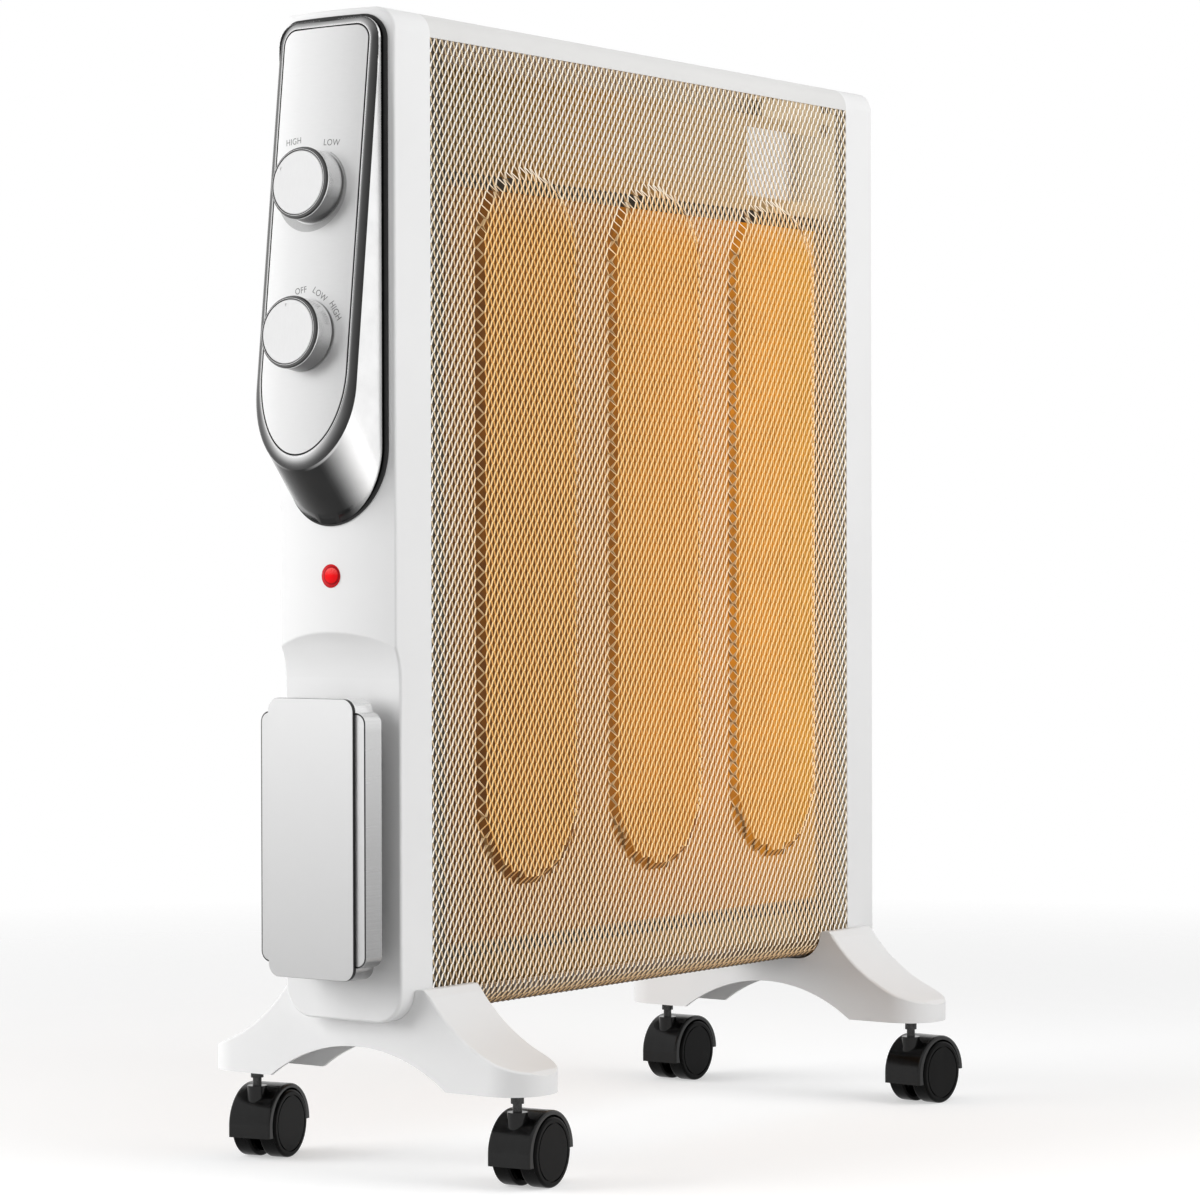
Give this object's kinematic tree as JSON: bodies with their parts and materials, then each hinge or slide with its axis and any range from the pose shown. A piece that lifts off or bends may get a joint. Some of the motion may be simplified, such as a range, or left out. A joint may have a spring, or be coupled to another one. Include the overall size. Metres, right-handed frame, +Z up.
{
  "type": "micathermic heater",
  "caption": "Free-standing mica panel heater: slim upright body with ribbed mesh faces, leaning control panel with dials on one end, cord winder, arched feet and swivelling castors.",
  "frame": {"origin": "on the floor, below the middle of the heater's overall length and width", "axes": "+Z up, +X along the heater away from the controls, -Y towards the front grille"},
  "size_m": [0.5238, 0.224, 0.63],
  "materials": {
    "white_paint": "satin",
    "white_plastic": "satin",
    "grille_metal": "satin",
    "galvanised_steel": "satin",
    "mica": "matt",
    "ribbon_metal": "matt",
    "ceramic": "matt",
    "bright_metal": "polished",
    "black_plastic": "satin",
    "gloss_black": "gloss",
    "graphite_chrome": "polished",
    "silver_plate": "satin",
    "chrome": "polished",
    "red_lens": "gloss",
    "dial_plastic": "satin",
    "steel": "satin",
    "lead_covering": "matt"
  },
  "bodies": {
    "heater_body": {"control_end_cap": "white_plastic", "far_end_cap": "white_plastic", "top_rail": "white_paint", "bottom_plate": "galvanised_steel", "front_grille": "grille_metal", "rear_grille": "grille_metal", "control_end_wall": "galvanised_steel", "far_end_wall": "galvanised_steel", "panel_channels": "galvanised_steel", "front_mica_sheets": "mica", "rear_mica_sheets": "mica", "front_heating_ribbon": "ribbon_metal", "rear_heating_ribbon": "ribbon_metal", "reflector_plate": "bright_metal", "ceramic_terminals": "ceramic", "cutout_bracket": "bright_metal", "thermal_cutout": "black_plastic", "control_carrier": "black_plastic", "control_bezel": "graphite_chrome", "control_panel": "silver_plate", "indicator_lens": "red_lens", "indicator_lamp": "black_plastic", "thermostat_body": "black_plastic", "switch_body": "black_plastic", "winder_core": "black_plastic", "winder_frame": "chrome", "winder_cover": "silver_plate", "near_foot": "white_plastic", "far_foot": "white_plastic", "castor_stems": "steel", "terminal_block": "ceramic", "tip_over_switch": "black_plastic", "internal_leads": "lead_covering", "cord_gland": "black_plastic", "large_screws": "steel", "small_screws": "steel"},
    "thermostat_dial": {"thermostat_shaft": "steel", "thermostat_knob": "dial_plastic", "thermostat_knob_ring": "chrome", "thermostat_knob_cap": "silver_plate"},
    "switch_dial": {"switch_shaft": "steel", "switch_knob": "dial_plastic", "switch_knob_ring": "chrome", "switch_knob_cap": "silver_plate"},
    "front_near_castor": {"front_near_castor_hood": "gloss_black", "front_near_castor_axle": "steel"},
    "front_near_wheel_left": {"front_near_castor_wheel_left": "gloss_black"},
    "front_near_wheel_right": {"front_near_castor_wheel_right": "gloss_black"},
    "back_near_castor": {"back_near_castor_hood": "gloss_black", "back_near_castor_axle": "steel"},
    "back_near_wheel_left": {"back_near_castor_wheel_left": "gloss_black"},
    "back_near_wheel_right": {"back_near_castor_wheel_right": "gloss_black"},
    "front_far_castor": {"front_far_castor_hood": "gloss_black", "front_far_castor_axle": "steel"},
    "front_far_wheel_left": {"front_far_castor_wheel_left": "gloss_black"},
    "front_far_wheel_right": {"front_far_castor_wheel_right": "gloss_black"},
    "back_far_castor": {"back_far_castor_hood": "gloss_black", "back_far_castor_axle": "steel"},
    "back_far_wheel_left": {"back_far_castor_wheel_left": "gloss_black"},
    "back_far_wheel_right": {"back_far_castor_wheel_right": "gloss_black"}
  },
  "joints": [
    {"name": "thermostat_turn", "type": "hinge", "parent": "heater_body", "child": "thermostat_dial", "pos_m": [-0.23609, 0, 0.53413], "axis": [-0.9941, 0, 0.1089], "range_deg": [-15, 279]},
    {"name": "switch_turn", "type": "hinge", "parent": "heater_body", "child": "switch_dial", "pos_m": [-0.2448, 0, 0.45461], "axis": [-0.9941, 0, 0.1089], "range_deg": [-66, 0]},
    {"name": "front_near_swivel", "type": "hinge", "parent": "heater_body", "child": "front_near_castor", "pos_m": [-0.18159, -0.09165, 0.046], "axis": [0, 0, 1], "continuous": true},
    {"name": "front_near_left_roll", "type": "hinge", "parent": "front_near_castor", "child": "front_near_wheel_left", "pos_m": [-0.16769, -0.08994, 0.019], "axis": [-0.1219, 0.9925, 0], "continuous": true},
    {"name": "front_near_right_roll", "type": "hinge", "parent": "front_near_castor", "child": "front_near_wheel_right", "pos_m": [-0.16769, -0.08994, 0.019], "axis": [-0.1219, 0.9925, 0], "continuous": true},
    {"name": "back_near_swivel", "type": "hinge", "parent": "heater_body", "child": "back_near_castor", "pos_m": [-0.18159, 0.09165, 0.046], "axis": [0, 0, 1], "continuous": true},
    {"name": "back_near_left_roll", "type": "hinge", "parent": "back_near_castor", "child": "back_near_wheel_left", "pos_m": [-0.16789, 0.09456, 0.019], "axis": [-0.2079, 0.9781, 0], "continuous": true},
    {"name": "back_near_right_roll", "type": "hinge", "parent": "back_near_castor", "child": "back_near_wheel_right", "pos_m": [-0.16789, 0.09456, 0.019], "axis": [-0.2079, 0.9781, 0], "continuous": true},
    {"name": "front_far_swivel", "type": "hinge", "parent": "heater_body", "child": "front_far_castor", "pos_m": [0.21841, -0.09165, 0.046], "axis": [0, 0, 1], "continuous": true},
    {"name": "front_far_left_roll", "type": "hinge", "parent": "front_far_castor", "child": "front_far_wheel_left", "pos_m": [0.23239, -0.09238, 0.019], "axis": [0.0523, 0.9986, 0], "continuous": true},
    {"name": "front_far_right_roll", "type": "hinge", "parent": "front_far_castor", "child": "front_far_wheel_right", "pos_m": [0.23239, -0.09238, 0.019], "axis": [0.0523, 0.9986, 0], "continuous": true},
    {"name": "back_far_swivel", "type": "hinge", "parent": "heater_body", "child": "back_far_castor", "pos_m": [0.21841, 0.09165, 0.046], "axis": [0, 0, 1], "continuous": true},
    {"name": "back_far_left_roll", "type": "hinge", "parent": "back_far_castor", "child": "back_far_wheel_left", "pos_m": [0.23241, 0.09189, 0.019], "axis": [-0.0175, 0.9998, 0], "continuous": true},
    {"name": "back_far_right_roll", "type": "hinge", "parent": "back_far_castor", "child": "back_far_wheel_right", "pos_m": [0.23241, 0.09189, 0.019], "axis": [-0.0175, 0.9998, 0], "continuous": true}
  ]
}
